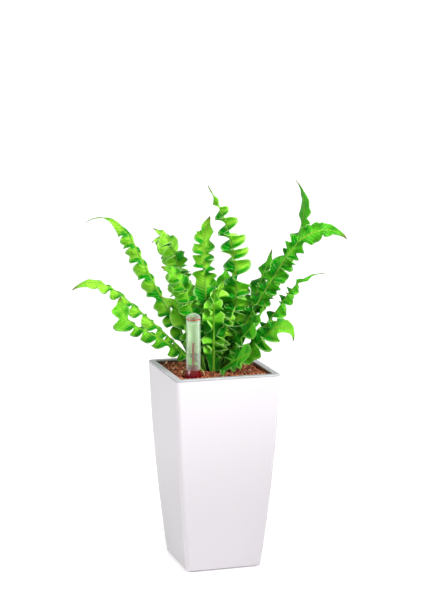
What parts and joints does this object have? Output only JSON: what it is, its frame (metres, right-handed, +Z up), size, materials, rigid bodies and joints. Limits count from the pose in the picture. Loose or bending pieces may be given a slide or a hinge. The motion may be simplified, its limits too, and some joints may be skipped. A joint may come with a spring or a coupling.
{
  "type": "self-watering planter",
  "caption": "Tall tapered square table planter in gloss white with a clear rim, a corner water gauge and a crinkled bird's-nest fern.",
  "frame": {"origin": "centre of the underside of the base, on the surface the planter stands on", "axes": "+Z up; the four faces are square to X and Y; the gauge stands in the corner at -X -Y"},
  "size_m": [0.2267, 0.1593, 0.3299],
  "materials": {
    "gloss_white": "high gloss, faint lilac white",
    "smoke_clear": "smoky clear, polished",
    "dark_plastic": "matte moulded",
    "soil": "loose brown mineral and bark granules",
    "peat": "fibrous root ball",
    "frond_base": "fibrous crown",
    "frond": "waxy leaf, satin",
    "clear_tube": "clear, polished",
    "ruby": "translucent ruby red",
    "red_ring": "red, satin",
    "float_white": "foamed white",
    "red_rod": "red-brown, satin"
  },
  "bodies": {
    "shell": {"outer_shell": "gloss_white"},
    "liner": {"rim_frame": "smoke_clear", "liner": "smoke_clear", "wick_well_1": "dark_plastic", "wick_well_2": "dark_plastic", "separator_grid": "dark_plastic", "fill_sleeve": "smoke_clear"},
    "planting": {"substrate": "soil", "wick_leg_1": "soil", "wick_leg_2": "soil", "root_ball": "peat", "crown": "frond_base", "frond_01": "frond", "frond_02": "frond", "frond_03": "frond", "frond_04": "frond", "frond_05": "frond", "frond_06": "frond", "frond_07": "frond", "frond_08": "frond", "frond_09": "frond", "frond_10": "frond", "frond_11": "frond", "frond_12": "frond", "frond_13": "frond", "frond_14": "frond", "frond_15": "frond", "frond_16": "frond", "frond_17": "frond", "frond_18": "frond", "frond_19": "frond", "frond_20": "frond", "frond_21": "frond", "frond_22": "frond", "frond_23": "frond"},
    "gauge": {"gauge_shaft": "clear_tube", "gauge_foot": "dark_plastic", "gauge_collar": "ruby", "gauge_head": "clear_tube", "cap_seal": "red_ring", "gauge_cap": "clear_tube"},
    "float": {"float": "float_white", "float_rod": "red_rod"}
  },
  "joints": [
    {"name": "liner_lift", "type": "slide", "parent": "shell", "child": "liner", "axis": [0, 0, 1], "range_m": [0, 0.17]},
    {"name": "planting_lift", "type": "slide", "parent": "liner", "child": "planting", "axis": [0, 0, 1], "range_m": [0, 0.166]},
    {"name": "gauge_lift", "type": "slide", "parent": "liner", "child": "gauge", "axis": [0, 0, 1], "range_m": [0, 0.165]},
    {"name": "float_rise", "type": "slide", "parent": "gauge", "child": "float", "axis": [0, 0, 1], "range_m": [-0.011, 0.016]}
  ]
}
